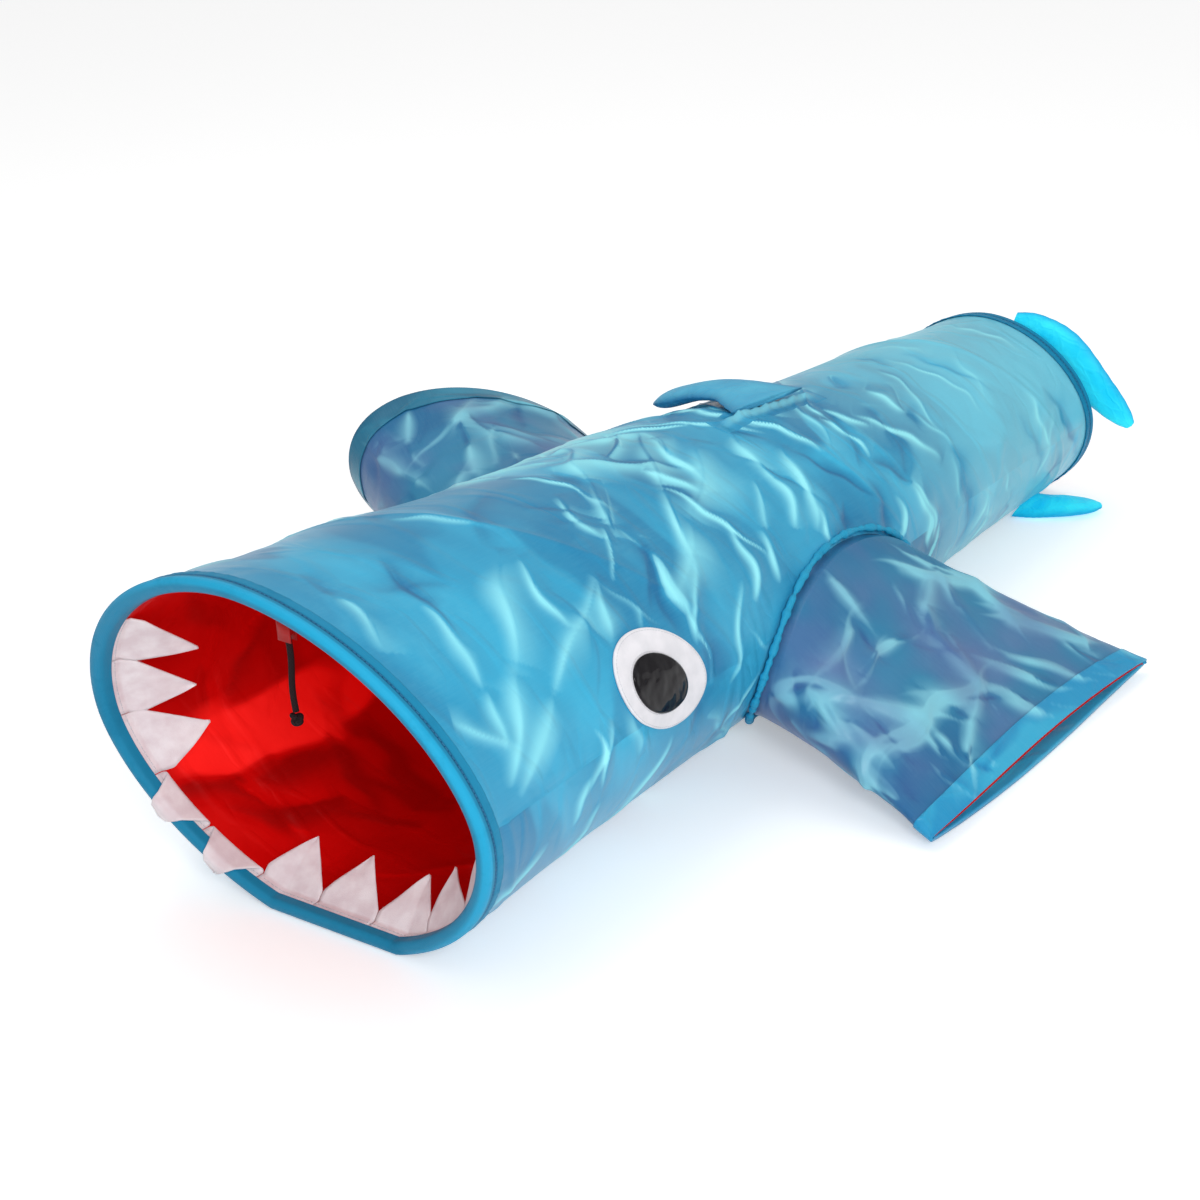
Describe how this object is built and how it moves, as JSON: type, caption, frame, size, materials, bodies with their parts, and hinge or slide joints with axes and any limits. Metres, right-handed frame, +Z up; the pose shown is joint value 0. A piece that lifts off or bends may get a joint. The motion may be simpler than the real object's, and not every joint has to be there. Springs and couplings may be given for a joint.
{
  "type": "pop-up cat tunnel",
  "caption": "Shark-shaped pop-up cat tunnel: a tapering sprung cloth tube with a toothed open mouth, a side sleeve on each side, stuffed back and tail fins, and a hanging toy cord.",
  "frame": {"origin": "the middle of the flat underside of the mouth binding, on the floor", "axes": "+Z up, +Y from the mouth to the tail, +X to the side of the collapsed sleeve"},
  "size_m": [0.7414, 1.2015, 0.3378],
  "materials": {
    "blue_nylon": "thin crackle nylon, satin",
    "crackle_film": "thin clear film",
    "red_lining": "thin nylon, satin",
    "spring_steel": "drawn wire",
    "binding_tape": "folded nylon tape, matte",
    "white_felt": "felt",
    "sleeve_nylon": "sheer nylon, satin",
    "cyan_cover": "nylon over stuffing",
    "wadding": "polyester wadding",
    "pupil_vinyl": "glossy vinyl",
    "black_cord": "braided cord"
  },
  "bodies": {
    "root": {"outer_skin": "blue_nylon", "crinkle_film": "crackle_film", "red_lining": "red_lining", "coil_spring": "spring_steel", "mouth_binding": "binding_tape", "mouth_hoop": "spring_steel", "mouth_hoop_ferrule": "spring_steel", "tooth_01": "white_felt", "tooth_02": "white_felt", "tooth_03": "white_felt", "tooth_04": "white_felt", "tooth_05": "white_felt", "tooth_06": "white_felt", "tooth_07": "white_felt", "tooth_08": "white_felt", "tooth_09": "white_felt", "tooth_10": "white_felt", "tooth_11": "white_felt", "tooth_12": "white_felt", "tooth_13": "white_felt", "right_fin_skin": "sleeve_nylon", "right_fin_lining": "red_lining", "right_fin_root_piping": "binding_tape", "right_fin_hem": "blue_nylon", "left_fin_skin": "sleeve_nylon", "left_fin_lining": "red_lining", "left_fin_root_piping": "binding_tape", "left_fin_hem": "blue_nylon", "right_eye_white": "white_felt", "right_eye_pupil": "pupil_vinyl", "left_eye_white": "white_felt", "left_eye_pupil": "pupil_vinyl", "cord_tab": "binding_tape"},
    "tail": {"tail_binding": "binding_tape", "tail_hoop": "spring_steel", "tail_hoop_ferrule": "spring_steel"},
    "dorsal_base": {"dorsal_fin_tape": "binding_tape"},
    "dorsal_fin": {"dorsal_fin_cover": "cyan_cover", "dorsal_fin_stuffing": "wadding"},
    "upper_tail_lobe": {"upper_tail_lobe_cover": "cyan_cover", "upper_tail_lobe_stuffing": "wadding"},
    "lower_tail_lobe": {"lower_tail_lobe_cover": "cyan_cover", "lower_tail_lobe_stuffing": "wadding"},
    "toy_cord": {"toy_cord": "black_cord", "toy_cord_knot": "black_cord"}
  },
  "joints": [
    {"name": "collapse", "type": "slide", "parent": "root", "child": "tail", "axis": [0, -1, 0], "range_m": [0, 0.98], "stiffness_N_per_m": 15, "deforming": ["outer_skin", "crinkle_film", "red_lining", "coil_spring", "right_fin_skin", "right_fin_lining", "right_fin_root_piping", "right_fin_hem", "left_fin_skin", "left_fin_lining", "left_fin_root_piping", "left_fin_hem", "right_eye_white", "right_eye_pupil", "left_eye_white", "left_eye_pupil"]},
    {"name": "dorsal_slide", "type": "slide", "parent": "root", "child": "dorsal_base", "axis": [0, -1, 0], "range_m": [0, 0.58506]},
    {"name": "dorsal_flop", "type": "hinge", "parent": "dorsal_base", "child": "dorsal_fin", "pos_m": [0.0268, 0.6003, 0.2626], "axis": [-0.0127, 0.9935, -0.1131], "range_deg": [0, 185]},
    {"name": "upper_lobe_flop", "type": "hinge", "parent": "tail", "child": "upper_tail_lobe", "pos_m": [0.024, 1.0815, 0.1985], "axis": [0, -1, 0], "range_deg": [0, 200]},
    {"name": "lower_lobe_lift", "type": "hinge", "parent": "tail", "child": "lower_tail_lobe", "pos_m": [0.056, 1.044, 0.0046], "axis": [0, -1, 0], "range_deg": [0, 25]},
    {"name": "toy_cord_swing", "type": "hinge", "parent": "root", "child": "toy_cord", "pos_m": [0.045, -0.066, 0.2975], "axis": [0, 1, 0], "range_deg": [-50, 50]}
  ],
  "couplings": [
    {"joint": "dorsal_slide", "follows": "collapse", "ratio": 0.597}
  ]
}
